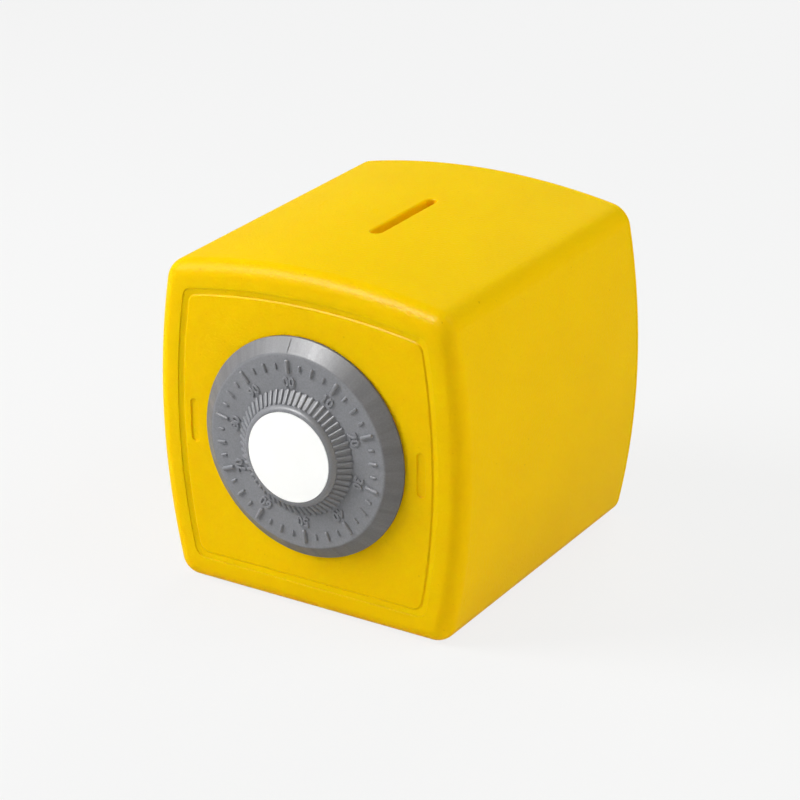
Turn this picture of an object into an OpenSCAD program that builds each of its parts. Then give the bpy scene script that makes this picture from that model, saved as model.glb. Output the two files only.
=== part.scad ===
// Money box safe: a bowed plastic box with a coin slot in its top and a lift-off front door.
// A numbered dial on the door turns a cam, which slides two bolts behind the front frame.
// Millimetres. +X is right, +Y is back and +Z is up. The origin is the centre of the base.

/* [Body] */
// Greatest width of the front
body_w = 96.3; // [90:0.1:130]
// Height of the front at the crown of the top
body_h = 96.6; // [90:0.2:130]
// Depth from the front frame to the rear face
body_d = 97.8; // [84:0.2:140]
// Wall of the shell, the frame and the back cover
wall = 2; // [1.6:0.1:2.4]
// Radius of the bowed sides
side_bow_r = 212; // [160:1:400]
// Radius of the bowed top
top_bow_r = 205; // [160:1:400]
// Radius of the long corners beside the top
top_corner_r = 7; // [5.8:0.2:9]
// Radius of the long corners beside the base
base_corner_r = 6; // [5.8:0.2:9]
// Radius round the front edge
front_edge_r = 4.5; // [3:0.1:5.5]
// Radius round the rear edge of the back cover
rear_edge_r = 1.2; // [0.6:0.1:1.5]
// Draft of the sides in degrees, by which the box widens to the rear
draft = 0.53; // [0:0.01:1]

/* [Coin slot] */
// Length of the slot, from front to back
slot_l = 31.5; // [26:0.5:40]
// Width of the slot
slot_w = 3.4; // [2.5:0.1:5]
// Distance of the slot's middle behind the front frame
slot_y = 50.8; // [40:0.2:60]
// Wall of the collar round the slot inside the box
slot_collar_t = 1.4; // [1:0.1:2]
// Height of the collar below the top
slot_collar_h = 2; // [1:0.1:4]

/* [Front door] */
// Width of the frame round the door
frame_w = 7.4; // [6.5:0.1:9]
// Width of the ledge that the door sits against
ledge_w = 3; // [2.5:0.1:3.6]
// Width of the groove round the raised panel
groove_w = 1.7; // [1.2:0.1:3]
// Depth of the groove below the raised panel
groove_d = 0.3; // [0.2:0.1:2]
// How far the raised panel lies behind the front of the frame
panel_drop = 0.2; // [0.1:0.1:2]
// Thickness of the raised panel
panel_t = 2; // [1.6:0.1:2.6]
// Thickness of the rim that sits on the ledge
flange_t = 2.7; // [1.4:0.1:3.2]
// Radius of the door opening's corners
door_corner_r = 3; // [2:0.1:4]
// Width of each recess in the panel
recess_w = 2.6; // [2:0.1:4]
// Height of each recess
recess_h = 12.4; // [8:0.2:20]
// Depth of each recess
recess_d = 0.4; // [0.2:0.1:1]
// Distance from a recess to the edge of the raised panel
recess_edge = 2.2; // [1.5:0.1:2.5]

/* [Dial] */
// Height of the dial's axis above the base
dial_z = 48.2; // [45:0.1:66]
// Radius of the rim
rim_r = 31; // [30:0.2:34]
// Height of the plain edge of the rim
rim_edge_h = 0.5; // [0.3:0.1:1]
// Width of the rim's back edge
rim_foot_w = 2.5; // [2:0.1:3.5]
// Outer radius of the flat scale ring
scale_r = 27.1; // [26:0.1:28]
// Height of the scale ring above the back of the rim
scale_h = 3.65; // [3:0.05:5]
// Radius of the knob at the scale ring, over the ribs
knob_base_r = 17.7; // [16.5:0.1:18.5]
// Radius of the knob at the top of the ribs
knob_top_r = 14.5; // [14:0.1:15.5]
// Height of the ribbed flank
knob_rib_h = 2.3; // [1.5:0.1:3]
// Number of ribs round the knob
knob_ribs = 58; // [40:2:72]
// Height of each rib above the flank
knob_rib_depth = 0.5; // [0.3:0.05:0.8]
// Width of each rib at its foot
knob_rib_w = 1.1; // [0.8:0.05:1.3]
// Height of the knob's face above the back of the rim
face_h = 7.5; // [6.8:0.1:9]
// Radius of the label
label_r = 12.7; // [10:0.1:12.7]
// Thickness of the label
label_t = 0.3; // [0.2:0.05:0.5]
// Wall under the scale ring and the knob's face
dial_wall = 1.8; // [1.4:0.1:2.2]
// Radial wall of the knob's flank
knob_wall = 2.2; // [1.8:0.1:3]
// Height of the raised scale marks
mark_h = 0.35; // [0.2:0.05:0.6]
// Width of the longest scale marks
mark_w = 0.8; // [0.5:0.1:1.2]
// Inner radius of the longest scale marks
mark_r = 21.8; // [20:0.1:23]
// Length of the longest scale marks
mark_l = 4.1; // [3:0.1:4.6]
// Angle of the zero mark at rest, clockwise from the top
scale_turn = -5; // [-18:1:18]
// Radius of the spindle
spindle_r = 4; // [3.5:0.1:4.5]
// Half width across the flats at the spindle's end
spindle_flat = 3.2; // [2.6:0.1:3.4]
// Wall of the hub round the spindle
hub_wall = 2.5; // [2:0.1:3.5]
// Thickness of the washer behind the dial
dial_washer_t = 0.3; // [0.2:0.05:0.6]

/* [Lock] */
// Turn of the dial from open to locked, in degrees
lock_turn = 144; // [90:1:144]
// Travel of each bolt
bolt_travel = 4; // [3:0.1:4.2]
// Thickness of the bolts
bolt_t = 2.4; // [2:0.1:3]
// Width of the bolts
bolt_w = 10; // [8:0.2:12]
// Bevel on the tip of each bolt
bolt_bevel = 1; // [0.5:0.1:1.5]
// Radius of the pin on each bolt
pin_r = 1.5; // [1.2:0.1:1.8]
// Distance of each pin from the dial's axis when the lock is open
pin_x = 9; // [8.8:0.1:9.6]
// Thickness of the cam
cam_t = 2.5; // [2:0.1:3]
// Wall of the cam outside its slots
cam_edge = 2.4; // [1.8:0.1:3]
// Radius of the click notches
notch_r = 1.6; // [1.2:0.1:1.8]
// Depth of the click notches
notch_d = 1.2; // [0.8:0.1:1.4]
// Number of click notches
notches = 10; // [10:10:20]
// Thickness of the click spring
spring_t = 0.4; // [0.3:0.05:0.5]
// Thickness of the rails beside the bolts
rail_t = 1.8; // [1.4:0.1:2.4]
// Wall of the lock cover
lid_t = 1.6; // [1.2:0.1:2]
// Width of the lock cover
lid_w = 56; // [54:0.5:64]
// Height of the lock cover
lid_h = 46; // [45:0.5:52]

/* [Screws] */
// Shank radius of the back cover's screws
back_screw_r = 1.25; // [1:0.05:1.5]
// Shank length of the back cover's screws
back_screw_l = 10; // [8:0.5:14]
// Shank radius of the lock cover's screws
lid_screw_r = 1; // [0.8:0.05:1.2]
// Shank length of the lock cover's screws
lid_screw_l = 8; // [6:0.5:9]
// Shank radius of the cam's screw
cam_screw_r = 1.25; // [1:0.05:1.4]
// Shank length of the cam's screw
cam_screw_l = 7; // [5:0.5:9]

/* [Clearances] */
// Gap between the door and the frame
door_gap = 0.2; // [0.15:0.05:0.3]
// Gap between the door's rim and the ledge
seat_gap = 0.1; // [0.05:0.05:0.2]
// Gap between the dial's back and the panel
dial_gap = 0.4; // [0.4:0.05:0.8]
// Radial gap of the spindle in its bore and of the pins in the cam's slots
run_gap = 0.08; // [0.05:0.01:0.1]
// Gap round the sliding bolts
slide_gap = 0.15; // [0.1:0.05:0.25]
// Gap between moving pieces that pass each other
pass_gap = 0.3; // [0.25:0.05:0.5]
// Gap round pieces that are fitted together
fit_gap = 0.05; // [0.03:0.01:0.1]

/* [Hidden] */
$fn = 64;

// Steps along the arcs of the box's outline and round its edges
corner_steps = 6;
side_steps = 8;
top_steps = 6;
edge_steps = 6;
// How far cuts run past the faces that they open
over = 1;

// Places across the front
half_w = body_w / 2;
bow_z = body_h / 2;
panel_inset = frame_w + groove_w;
ledge_inset = frame_w + ledge_w;
pocket_inset = panel_inset + wall;
ledge_half_w = half_w - ledge_inset;

// Places behind the front of the frame
panel_y = panel_drop;
flange_y = panel_y + groove_d;
seat_y = flange_y + flange_t;
pocket_y = panel_y + panel_t;
ledge_y = seat_y + seat_gap;
ledge_back = ledge_y + wall;
bolt_y = ledge_back + pass_gap;
bolt_back = bolt_y + bolt_t;
cam_y = bolt_back + pass_gap;
cam_back = cam_y + cam_t;
rim_y = panel_y - dial_gap;
guide_y = bolt_y - slide_gap;
cover_y = body_d - wall;

// Dial
spindle_end_gap = 0.2;
spindle_l = cam_back - spindle_end_gap - rim_y;
hub_r = spindle_r + hub_wall;
rib_top = scale_h + knob_rib_h;
shoulder_r = face_h - rib_top;
rib_foot_r = knob_base_r - knob_rib_depth;
rib_taper = knob_top_r / knob_base_r;
rib_crest = 0.5;
core_gap = 0.3;
shoulder_lip = 0.15;
marks = 40;
mark_sink = 0.3;
// Long, middle and short marks: what each loses at both ends, and its share of the width
mark_trim = [0, 0.7, 1.1];
mark_share = [1, 0.7, 0.55];
bore_r = spindle_r + run_gap;

// Lock
cam_slot_r = pin_r + run_gap;
cam_r = pin_x + bolt_travel + cam_slot_r + cam_edge;
cam_slot_steps = 28;
collar_wall = 1.4;
collar_r = spindle_r + collar_wall;
pin_wall = 1.5;
bolt_in_x = pin_x - pin_r - pin_wall;
bolt_out_x = ledge_half_w - pass_gap;
guide_in_x = pin_x + bolt_travel;
guide_out_x = bolt_out_x - bolt_travel;
cam_washer_t = 0.5;
cam_washer_r = 5.2;
cam_head_h = 1.8;
lid_y = cam_back + cam_washer_t + cam_head_h + pass_gap;
lid_back = lid_y + lid_t;
lid_post_wall = 1.5;
lid_post_r = lid_screw_r + lid_post_wall;
lid_post_x = lid_w / 2 - lid_t - lid_post_r - door_gap;
lid_post_z = lid_h / 2 - lid_t - lid_post_r - door_gap;

// Click spring, a leaf above the cam with its nose in the top notch
spring_lift = 1.7;
spring_z = cam_r + spring_lift;
nose_z = cam_r - notch_d + pass_gap;
nose_half_w = 2.2;
nose_steps = 12;
spring_post = 3;
spring_half_l = 15.4;

// Back cover
cup_d = 3;
cup_wall = 0.8;
recess_r = 2 * back_screw_r + door_gap;
cup_r = recess_r + cup_wall;
lip_d = 4;
lip_t = 1.5;
screw_inset = cup_r + 2 * door_gap;
boss_r = back_screw_r + fit_gap + wall;
boss_web = 0.75;
boss_web_r = boss_web * wall;
boss_y = cover_y - cup_d;
boss_l = back_screw_l - wall + over;
head_y = boss_y + wall;

// Growth of the box's section at a distance behind the front
function grow(y) = 1 + y * tan(draft) / half_w;

// Heights of the box's top and of the collar's lower end at the coin slot
slot_z = body_h * grow(slot_y);
collar_z = slot_z - wall - slot_collar_h;

// Points along an arc, without its first point where it carries on from another
function arc(centre, r, from, to, steps, first = 0) = [
    for (i = [first:steps])
        let (a = from + (to - from) * i / steps)
        centre + r * [cos(a), sin(a)]
];

function bearing(from, to) = atan2(to[1] - from[1], to[0] - from[0]);

// The upper right crossing of two circles
function crossing(c1, r1, c2, r2) =
    let (
        d = norm(c2 - c1),
        u = (c2 - c1) / d,
        along = (r1 * r1 - r2 * r2 + d * d) / (2 * d)
    )
    c1 + along * u + sqrt(r1 * r1 - along * along) * [-u[1], u[0]];

// Centres of the arcs in the outline: bowed side, bowed top, top corner and base corner
function side_centre(k) = k * [half_w - side_bow_r, bow_z];
function top_centre(k) = k * [0, body_h - top_bow_r];
function top_corner(k, inset, r) =
    crossing(side_centre(k), k * side_bow_r - inset - r, top_centre(k), k * top_bow_r - inset - r);
function base_corner(k, inset, r) =
    let (
        c = side_centre(k),
        reach = k * side_bow_r - inset - r,
        rise = inset + r - c[1]
    )
    [c[0] + sqrt(reach * reach - rise * rise), inset + r];

// Outline of the box seen from the front, grown by k and then drawn in by inset
function outline(k, inset, top_r, base_r) =
    let (
        side_c = side_centre(k),
        top_c = top_centre(k),
        crown = top_corner(k, inset, top_r),
        foot = base_corner(k, inset, base_r),
        side_from = bearing(side_c, foot),
        side_to = bearing(side_c, crown),
        top_from = bearing(top_c, crown),
        right = concat(
            arc(foot, base_r, -90, side_from, corner_steps),
            arc(side_c, k * side_bow_r - inset, side_from, side_to, side_steps, 1),
            arc(crown, top_r, side_to, top_from, corner_steps, 1),
            arc(top_c, k * top_bow_r - inset, top_from, 90, top_steps, 1)
        )
    )
    concat(right, [for (i = [len(right) - 2:-1:0]) [-right[i][0], right[i][1]]]);

// Outline of the box's skin, with corners that stay concentric as it is drawn in
function skin_outline(y, inset) =
    outline(grow(y), inset, top_corner_r - inset, base_corner_r - inset);

// Outline of the door and of what frames it
function door_outline(inset, corner_r = door_corner_r) = outline(1, inset, corner_r, corner_r);

function ring(y, inset) = [for (p = skin_outline(y, inset)) [p[0], y, p[1]]];

// Rings from the front face round an edge of radius r, drawn in by inset and starting at depth y
function front_rings(y, inset, r) = [
    for (i = [0:edge_steps])
        let (a = 90 * i / edge_steps)
        ring(y + r * (1 - cos(a)), inset + r * (1 - sin(a)))
];

// Rings round the rear edge, ending on the rear face
function rear_rings(r) = [
    for (i = [0:edge_steps])
        let (a = 90 * i / edge_steps)
        ring(body_d - r * (1 - sin(a)), r * (1 - cos(a)))
];

// Solid through a list of rings
module skin(rings) {
    n = len(rings[0]);
    last = len(rings) - 1;
    polyhedron(
        points = [for (r = rings) each r],
        faces = concat(
            [[for (j = [n - 1:-1:0]) j]],
            [[for (j = [0:n - 1]) last * n + j]],
            [
                for (i = [0:last - 1], j = [0:n - 1])
                    let (a = i * n + j, b = i * n + (j + 1) % n)
                    each [[a, b, b + n], [a, b + n, a + n]]
            ]
        )
    );
}

// Moves a piece that is drawn from the front of the frame into the box's own place
module from_front() {
    translate([0, -body_d / 2, 0]) children();
}

// The same, for a piece that is drawn round the dial's axis
module on_axis() {
    from_front() translate([0, 0, dial_z]) children();
}

// Extrudes a shape seen from the front between two depths
module slab(y0, y1) {
    translate([0, y1, 0]) rotate([90, 0, 0]) linear_extrude(y1 - y0) children();
}

// Round bar along Y between two depths
module rod(y0, y1, r) {
    slab(y0, y1) circle(r);
}

// Block between two corners
module block(low, high) {
    translate(low) cube(high - low);
}

// Cross-head screw along Y: its head lies behind seat_depth and its shank runs forward
module screw(seat_depth, shank_r, length, head_h) {
    head_r = 2 * shank_r;
    cross_w = 0.4 * shank_r;
    difference() {
        union() {
            rod(seat_depth, seat_depth + head_h, head_r);
            rod(seat_depth - length, seat_depth + head_h / 2, shank_r);
        }
        for (turn = [0, 90])
            rotate([0, turn, 0])
                block(
                    [-shank_r, seat_depth + head_h / 2, -cross_w / 2],
                    [shank_r, seat_depth + head_h + over, cross_w / 2]
                );
    }
}

// Places a child at each screw of the back cover, or nearer to the corner of the box by shift
module at_back_screws(shift = 0) {
    k = grow(boss_y);
    foot = base_corner(k, 0, base_corner_r);
    crown = top_corner(k, 0, top_corner_r);
    out_foot = (base_corner_r - wall - screw_inset + shift) / sqrt(2);
    out_crown = (top_corner_r - wall - screw_inset + shift) / sqrt(2);
    for (side = [-1, 1]) {
        translate([side * (foot[0] + out_foot), 0, foot[1] - out_foot]) children();
        translate([side * (crown[0] + out_crown), 0, crown[1] + out_crown]) children();
    }
}

// Places a child at each screw of the lock cover
module at_lid_screws() {
    for (sx = [-1, 1], sz = [-1, 1])
        translate([sx * lid_post_x, 0, sz * lid_post_z]) children();
}

// Round spindle section with two flats
module flatted(gap) {
    intersection() {
        circle(spindle_r + gap);
        square([2 * (spindle_flat + gap), 3 * spindle_r], center = true);
    }
}

// Upright prism round the coin slot, wider than the slot by margin on all sides
module slot_prism(margin, z0, z1) {
    straight = slot_l - slot_w;
    r = slot_w / 2 + margin;
    translate([0, slot_y, 0]) {
        block([-r, -straight / 2, z0], [r, straight / 2, z1]);
        for (end = [-1, 1])
            translate([0, end * straight / 2, z0]) cylinder(h = z1 - z0, r = r);
    }
}

module housing() {
    color("gold") from_front() difference() {
        union() {
            difference() {
                skin(concat(front_rings(0, 0, front_edge_r), [ring(cover_y, 0)]));
                skin(concat(front_rings(wall, wall, front_edge_r - wall), [ring(cover_y + over, wall)]));
            }
            slab(wall / 2, ledge_back) polygon(door_outline(frame_w - wall, door_corner_r + wall));
            slot_prism(slot_collar_t, collar_z, slot_z - wall / 2);
            at_back_screws() rod(boss_y - boss_l, boss_y, boss_r);
            at_back_screws(screw_inset) rod(boss_y - boss_l, boss_y, boss_web_r);
        }
        slab(-over, ledge_y) polygon(door_outline(frame_w));
        slab(wall, ledge_back + over) polygon(door_outline(ledge_inset));
        slot_prism(0, collar_z - over, slot_z + wall);
        at_back_screws() rod(boss_y - boss_l + over, boss_y + over, back_screw_r + fit_gap);
    }
}

module back_cover() {
    lip_y = cover_y - lip_d;
    lip_k = grow(lip_y);
    lip_inset = wall + door_gap;
    lip_corner_r = min(top_corner_r, base_corner_r) - lip_inset;
    color("gold") from_front() difference() {
        union() {
            skin(concat([ring(cover_y, 0)], rear_rings(rear_edge_r)));
            difference() {
                slab(lip_y, cover_y + wall / 2)
                    polygon(outline(lip_k, lip_inset, lip_corner_r, lip_corner_r));
                slab(lip_y - over, cover_y)
                    polygon(outline(lip_k, lip_inset + lip_t, lip_corner_r - lip_t, lip_corner_r - lip_t));
                at_back_screws() rod(lip_y - over, cover_y, screw_inset + wall);
            }
            at_back_screws() rod(boss_y, cover_y + wall / 2, cup_r);
        }
        at_back_screws() {
            rod(head_y, body_d + over, recess_r);
            rod(lip_y, body_d, back_screw_r + fit_gap);
        }
    }
}

module back_cover_screws() {
    color("silver") from_front() at_back_screws() screw(head_y, back_screw_r, back_screw_l, wall);
}

// Bed and rails that carry one bolt on the back of the door
module bolt_guide() {
    rail_z = bolt_w / 2 + slide_gap;
    block([guide_in_x, pocket_y - over, -rail_z - rail_t], [guide_out_x, guide_y, rail_z + rail_t]);
    for (side = [0, 1])
        mirror([0, 0, side])
            block([guide_in_x, pocket_y, rail_z], [guide_out_x, bolt_back, rail_z + rail_t]);
}

// Post with a slot that holds one end of the click spring
module spring_holder() {
    low_z = spring_z - spring_post / 2;
    difference() {
        block(
            [spring_half_l - spring_post, pocket_y - over, low_z],
            [spring_half_l + fit_gap + over, cam_back, low_z + spring_post + spring_t]
        );
        block(
            [spring_half_l - spring_post - over, cam_y - fit_gap, spring_z - fit_gap],
            [spring_half_l + fit_gap, cam_back + over, spring_z + spring_t + fit_gap]
        );
    }
}

// Shallow recess with round ends in the front of the panel
module recess() {
    straight = recess_h - recess_w;
    floor_y = panel_y + recess_d;
    block([-recess_w / 2, -over, -straight / 2], [recess_w / 2, floor_y, straight / 2]);
    for (end = [-1, 1])
        translate([0, 0, end * straight / 2]) rod(-over, floor_y, recess_w / 2);
}

module door_panel() {
    color("gold") {
        from_front() difference() {
            union() {
                slab(panel_y, seat_y) polygon(door_outline(panel_inset));
                slab(flange_y, seat_y) polygon(door_outline(frame_w + door_gap));
            }
            slab(pocket_y, seat_y + over) polygon(door_outline(pocket_inset));
            translate([0, 0, dial_z]) {
                rod(-over, seat_y, bore_r);
                for (side = [-1, 1])
                    translate([side * (half_w - panel_inset - recess_edge - recess_w / 2), 0, 0]) recess();
            }
        }
        on_axis() {
            difference() {
                rod(pocket_y - over, guide_y, bore_r + wall);
                rod(0, guide_y + over, bore_r);
            }
            for (side = [0, 1])
                mirror([side, 0, 0]) {
                    bolt_guide();
                    spring_holder();
                }
            difference() {
                at_lid_screws() rod(pocket_y - over, lid_y, lid_post_r);
                at_lid_screws() rod(lid_back - lid_screw_l - over, lid_back, lid_screw_r + fit_gap);
            }
        }
    }
}

// Places a piece that is drawn with its height towards the front on the back plane of the rim
module on_rim() {
    on_axis() translate([0, rim_y, 0]) rotate([90, 0, 0]) children();
}

// Raised marks of the scale: every fourth is long, every second one between is of middle length
module scale_marks() {
    for (i = [0:marks - 1]) {
        rank = i % 4 == 0 ? 0 : (i % 2 == 0 ? 1 : 2);
        trim = mark_trim[rank];
        width = mark_w * mark_share[rank];
        rotate(-scale_turn - i * 360 / marks)
            block(
                [-width / 2, mark_r + trim, scale_h - mark_sink],
                [width / 2, mark_r + mark_l - trim, scale_h + mark_h]
            );
    }
}

// Tapered flank of the knob with its ribs
module ribbed_flank() {
    ridge = [
        for (i = [0:knob_ribs - 1])
            let (
                a = 360 * i / knob_ribs,
                out = [cos(a), sin(a)],
                across = knob_rib_w / 2 * [-sin(a), cos(a)]
            )
            each [
                rib_foot_r * out - across, knob_base_r * out - rib_crest * across,
                knob_base_r * out + rib_crest * across, rib_foot_r * out + across
            ]
    ];
    translate([0, 0, scale_h - mark_sink])
        linear_extrude(knob_rib_h + mark_sink, scale = rib_taper) polygon(ridge);
}

module dial() {
    top_core_r = rib_foot_r * rib_taper;
    face_r = top_core_r + shoulder_lip - shoulder_r;
    color("dimgray") on_rim() difference() {
        union() {
            rotate_extrude() polygon(concat(
                [
                    [0, -spindle_l], [spindle_r, -spindle_l], [spindle_r, 0], [rim_r, 0],
                    [rim_r, rim_edge_h], [scale_r, scale_h],
                    [rib_foot_r - core_gap, scale_h], [top_core_r - core_gap, rib_top]
                ],
                arc([face_r, rib_top], shoulder_r, 0, 90, edge_steps),
                [[0, face_h]]
            ));
            ribbed_flank();
            scale_marks();
        }
        rotate_extrude() polygon([
            [hub_r, -over], [rim_r - rim_foot_w, -over], [rim_r - rim_foot_w, 0],
            [scale_r - dial_wall, scale_h - dial_wall], [knob_base_r - knob_wall, scale_h - dial_wall],
            [knob_top_r - knob_wall, face_h - label_t - dial_wall], [hub_r, face_h - label_t - dial_wall]
        ]);
        translate([0, 0, face_h - label_t]) cylinder(h = label_t + over, r = label_r);
        translate([0, 0, -spindle_l - over]) {
            linear_extrude(over + spindle_l + rim_y - guide_y - slide_gap) difference() {
                circle(2 * spindle_r);
                flatted(0);
            }
            cylinder(h = cam_screw_l + 2 * over, r = cam_screw_r + fit_gap);
        }
    }
}

module dial_label() {
    color("white") on_rim() translate([0, 0, face_h - label_t]) cylinder(h = label_t, r = label_r - fit_gap);
}

module dial_washer() {
    color("whitesmoke") on_axis() slab(panel_y - dial_washer_t, panel_y) difference() {
        circle(hub_r + hub_wall);
        circle(bore_r);
    }
}

// Spiral slot in which the right bolt's pin moves outwards at an even rate as the cam turns
module cam_slot() {
    rate = bolt_travel / (lock_turn * PI / 180);
    path = [
        for (i = [0:cam_slot_steps])
            let (
                a = lock_turn * i / cam_slot_steps,
                r = pin_x + bolt_travel * i / cam_slot_steps,
                across = r * [cos(a), sin(a)] - rate * [-sin(a), cos(a)]
            )
            [r * [cos(a), sin(a)], cam_slot_r * across / norm(across)]
    ];
    polygon(concat(
        [for (p = path) p[0] + p[1]],
        [for (i = [cam_slot_steps:-1:0]) path[i][0] - path[i][1]]
    ));
    for (end = [0, cam_slot_steps])
        translate(path[end][0]) circle(cam_slot_r);
}

module lock_cam() {
    color("whitesmoke") on_axis() {
        slab(cam_y, cam_back) difference() {
            circle(cam_r);
            for (turn = [0, 180])
                rotate(turn) cam_slot();
            for (i = [0:notches - 1])
                rotate(90 + i * 360 / notches) translate([cam_r - notch_d + notch_r, 0]) circle(notch_r);
            flatted(fit_gap);
        }
        slab(guide_y + slide_gap, cam_y) difference() {
            circle(collar_r);
            flatted(fit_gap);
        }
    }
}

module cam_washer() {
    color("silver") on_axis() slab(cam_back, cam_back + cam_washer_t) difference() {
        circle(cam_washer_r);
        circle(cam_screw_r + fit_gap);
    }
}

module cam_screw() {
    color("silver") on_axis()
        screw(cam_back + cam_washer_t, cam_screw_r, cam_screw_l + cam_washer_t, cam_head_h);
}

// Flat bolt with a bevelled tip and the pin that the cam drives, as on the right side
module bolt() {
    translate([0, 0, -bolt_w / 2]) linear_extrude(bolt_w) polygon([
        [bolt_in_x, bolt_y], [bolt_out_x - bolt_bevel, bolt_y], [bolt_out_x, bolt_y + bolt_bevel],
        [bolt_out_x, bolt_back], [bolt_in_x, bolt_back]
    ]);
    translate([pin_x, 0, 0]) rod(bolt_back - bolt_t / 2, cam_back, pin_r);
}

module left_bolt() {
    color("whitesmoke") on_axis() mirror([1, 0, 0]) bolt();
}

module right_bolt() {
    color("whitesmoke") on_axis() bolt();
}

module lock_cover() {
    notch_z = bolt_w / 2 + slide_gap + rail_t + door_gap;
    color("gold") on_axis() difference() {
        block([-lid_w / 2, pocket_y, -lid_h / 2], [lid_w / 2, lid_back, lid_h / 2]);
        block(
            [lid_t - lid_w / 2, pocket_y - over, lid_t - lid_h / 2],
            [lid_w / 2 - lid_t, lid_y, lid_h / 2 - lid_t]
        );
        block([-lid_w, pocket_y - over, -notch_z], [lid_w, bolt_back + slide_gap, notch_z]);
        at_lid_screws() rod(lid_y - over, lid_back + over, lid_screw_r + fit_gap);
    }
}

module lock_cover_screws() {
    color("silver") on_axis() at_lid_screws() screw(lid_back, lid_screw_r, lid_screw_l, lid_t);
}

// Height of the leaf's lower face, which dips to the nose at its middle
function leaf_z(x) =
    spring_z - (spring_z - nose_z) * (abs(x) < nose_half_w ? (1 + cos(180 * x / nose_half_w)) / 2 : 0);

module click_spring() {
    stations = concat(
        [-spring_half_l],
        [for (i = [-nose_steps:nose_steps]) nose_half_w * i / nose_steps],
        [spring_half_l]
    );
    last = len(stations) - 1;
    color("silver") on_axis() slab(cam_y, cam_back) polygon(concat(
        [for (x = stations) [x, leaf_z(x)]],
        [for (i = [last:-1:0]) [stations[i], leaf_z(stations[i]) + spring_t]]
    ));
}

housing();
back_cover();
back_cover_screws();
door_panel();
dial();
dial_label();
dial_washer();
lock_cam();
cam_washer();
cam_screw();
left_bolt();
right_bolt();
lock_cover();
lock_cover_screws();
click_spring();
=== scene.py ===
"""Money box safe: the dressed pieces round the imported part.

Lengths are in millimetres, as in the part's source, up to the point where a piece is placed.
"""

import math

import bmesh
import bpy
from mathutils import Matrix, Vector

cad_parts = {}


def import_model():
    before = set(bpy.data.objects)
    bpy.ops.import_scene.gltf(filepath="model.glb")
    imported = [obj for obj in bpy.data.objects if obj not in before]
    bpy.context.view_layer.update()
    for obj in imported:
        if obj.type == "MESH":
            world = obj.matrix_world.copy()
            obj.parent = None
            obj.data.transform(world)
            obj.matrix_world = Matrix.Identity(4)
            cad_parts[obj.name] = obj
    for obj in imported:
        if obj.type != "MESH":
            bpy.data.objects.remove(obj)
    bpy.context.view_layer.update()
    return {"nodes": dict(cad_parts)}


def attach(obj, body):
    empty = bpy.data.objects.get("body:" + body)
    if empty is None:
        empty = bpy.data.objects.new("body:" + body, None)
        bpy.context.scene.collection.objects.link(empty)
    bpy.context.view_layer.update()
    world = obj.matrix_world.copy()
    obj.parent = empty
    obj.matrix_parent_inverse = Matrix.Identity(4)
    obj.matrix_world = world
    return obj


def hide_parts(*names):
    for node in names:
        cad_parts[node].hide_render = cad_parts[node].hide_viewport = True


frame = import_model()

MM = 0.001
TAU = 2 * math.pi
QUARTER = math.pi / 2

# Sizes of the part, with the names that they have in its source
body_w, body_h, body_d = 96.3, 96.6, 97.8
wall = 2.0
side_bow_r, top_bow_r = 212.0, 205.0
top_corner_r, base_corner_r = 7.0, 6.0
front_edge_r, rear_edge_r = 4.5, 1.2
draft = math.radians(0.53)
slot_l, slot_w, slot_y = 31.5, 3.4, 50.8
slot_collar_t, slot_collar_h = 1.4, 2.0
frame_w, ledge_inset, panel_inset, pocket_inset = 7.4, 10.4, 9.1, 11.1
panel_y, flange_y, pocket_y, seat_y, ledge_y, ledge_back = 0.2, 0.5, 2.2, 3.2, 3.3, 5.3
door_corner_r, door_gap = 3.0, 0.2
recess_w, recess_h, recess_d, recess_edge = 2.6, 12.4, 0.4, 2.2
dial_z, rim_y = 48.2, -0.2
rim_r, rim_edge_h, rim_foot_w = 31.0, 0.5, 2.5
scale_r, scale_h = 27.1, 3.65
knob_base_r, knob_top_r, knob_rib_h, knob_ribs = 17.7, 14.5, 2.3, 58
knob_rib_depth = 0.5
face_h, label_r, label_t = 7.5, 12.7, 0.3
dial_wall, knob_wall, shoulder_lip = 1.8, 2.2, 0.15
mark_w, mark_r, mark_l = 0.8, 21.8, 4.1
marks, scale_turn = 40, -5.0
mark_trim, mark_share = (0, 0.7, 1.1), (1, 0.7, 0.55)
spindle_r, spindle_flat, spindle_l = 4.0, 3.2, 10.8
hub_r, bore_r = 6.5, 4.08
guide_y, bolt_back, cam_y, cam_back, lid_y, lid_back = 5.45, 8.0, 8.3, 10.8, 13.4, 15.0
guide_in_x, guide_out_x = 13.0, 33.45
bolt_w, slide_gap, rail_t = 10.0, 0.15, 1.8
spring_z, spring_half_l, spring_post, spring_t = 18.68, 15.4, 3.0, 0.4
lid_post_x, lid_post_z, lid_post_r, lid_screw_r, lid_screw_l = 23.7, 18.7, 2.5, 1.0, 8.0
fit_gap = 0.05
cover_y, boss_y, head_y, boss_l = 95.8, 92.8, 94.8, 9.0
back_screw_r, recess_r, cup_r, screw_inset, boss_r, boss_web_r = 1.25, 2.7, 3.5, 3.9, 3.3, 1.5
lip_d, lip_t, lip_corner_r = 4.0, 1.5, 3.8

half_w = body_w / 2
lip_inset = wall + door_gap
lip_y = cover_y - lip_d

# Steps along the outline's arcs, round its edges and round a lathed shape
CORNER, SIDE, TOP = 12, 16, 22
EDGE, SOFT, ROUND, FINE = 10, 6, 5, 4
CROWN = CORNER + SIDE + CORNER + TOP
LATHE = 180


# Outlines and meshes


def grow(y):
    return 1 + y * math.tan(draft) / half_w


def spread(a, b, steps):
    return [a + (b - a) * i / steps for i in range(steps + 1)]


def arc(centre, r, start, stop, steps, first=0):
    angles = spread(start, stop, steps)[first:]
    return [(centre[0] + r * math.cos(a), centre[1] + r * math.sin(a)) for a in angles]


def bearing(a, b):
    return math.atan2(b[1] - a[1], b[0] - a[0])


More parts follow.
